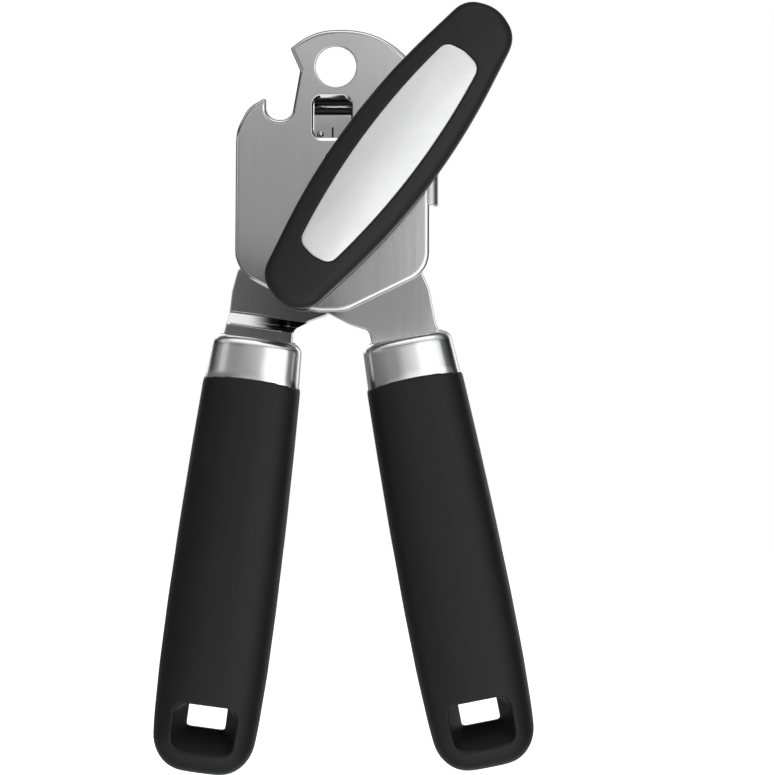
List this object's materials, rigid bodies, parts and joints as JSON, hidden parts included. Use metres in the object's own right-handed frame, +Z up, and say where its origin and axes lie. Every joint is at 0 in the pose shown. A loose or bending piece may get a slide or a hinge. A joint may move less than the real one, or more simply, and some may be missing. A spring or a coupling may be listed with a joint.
{
  "type": "manual can opener",
  "caption": "Hand-held rotary can opener: steel head with bottle-opener notch, side turning knob with steel inlay, feed wheel, cutting wheel and black soft-grip handles.",
  "frame": {"origin": "centre of the round hanging hole, half way through the head plate's wall", "axes": "+Z up along the opener towards its head, +X to the right seen from the knob's side, -Y towards the knob"},
  "size_m": [0.104, 0.0291, 0.2078],
  "materials": {
    "plate_steel": "polished stainless steel",
    "lever_steel": "polished stainless steel",
    "ferrule_steel": "satin stainless steel",
    "inlay_steel": "satin stainless steel",
    "cutting_steel": "ground hardened steel",
    "bushing_steel": "turned steel",
    "fastener_steel": "bright plated steel",
    "bronze": "sintered bronze",
    "grip_rubber": "soft-touch matt black",
    "knob_plastic": "satin black moulding",
    "core_plastic": "moulded black nylon"
  },
  "bodies": {
    "cutter_lever": {"head_plate": "plate_steel", "left_lever": "lever_steel", "head_rivets": "fastener_steel", "rivet_spacers": "bushing_steel", "cutter_stud": "bushing_steel", "cutter_spring_washer": "fastener_steel", "cutter_screw": "fastener_steel", "left_ferrule": "ferrule_steel", "left_grip": "grip_rubber", "left_core": "core_plastic", "left_tang_pin": "fastener_steel"},
    "cutter": {"cutting_wheel": "cutting_steel", "cutter_bush": "bronze"},
    "feed_lever": {"right_lever": "lever_steel", "eccentric_bushing": "bushing_steel", "right_ferrule": "ferrule_steel", "right_grip": "grip_rubber", "right_core": "core_plastic", "right_tang_pin": "fastener_steel"},
    "crank": {"crank_axle": "bushing_steel", "feed_wheel": "cutting_steel", "front_thrust_washer": "fastener_steel", "rear_thrust_washer": "fastener_steel", "knob_shell": "knob_plastic", "knob_back_cover": "knob_plastic", "knob_inlay": "inlay_steel", "knob_hub_insert": "bushing_steel", "knob_screw": "fastener_steel"}
  },
  "joints": [
    {"name": "handle_pivot", "type": "hinge", "parent": "cutter_lever", "child": "feed_lever", "pos_m": [0.014, 0, -0.0217], "axis": [0, 1, 0], "range_deg": [-30, 15]},
    {"name": "crank_turn", "type": "hinge", "parent": "feed_lever", "child": "crank", "pos_m": [0.014, 0, -0.025], "axis": [0, 1, 0], "continuous": true},
    {"name": "cutter_spin", "type": "hinge", "parent": "cutter_lever", "child": "cutter", "pos_m": [-0.0011, 0, -0.025], "axis": [0, 1, 0], "continuous": true}
  ]
}
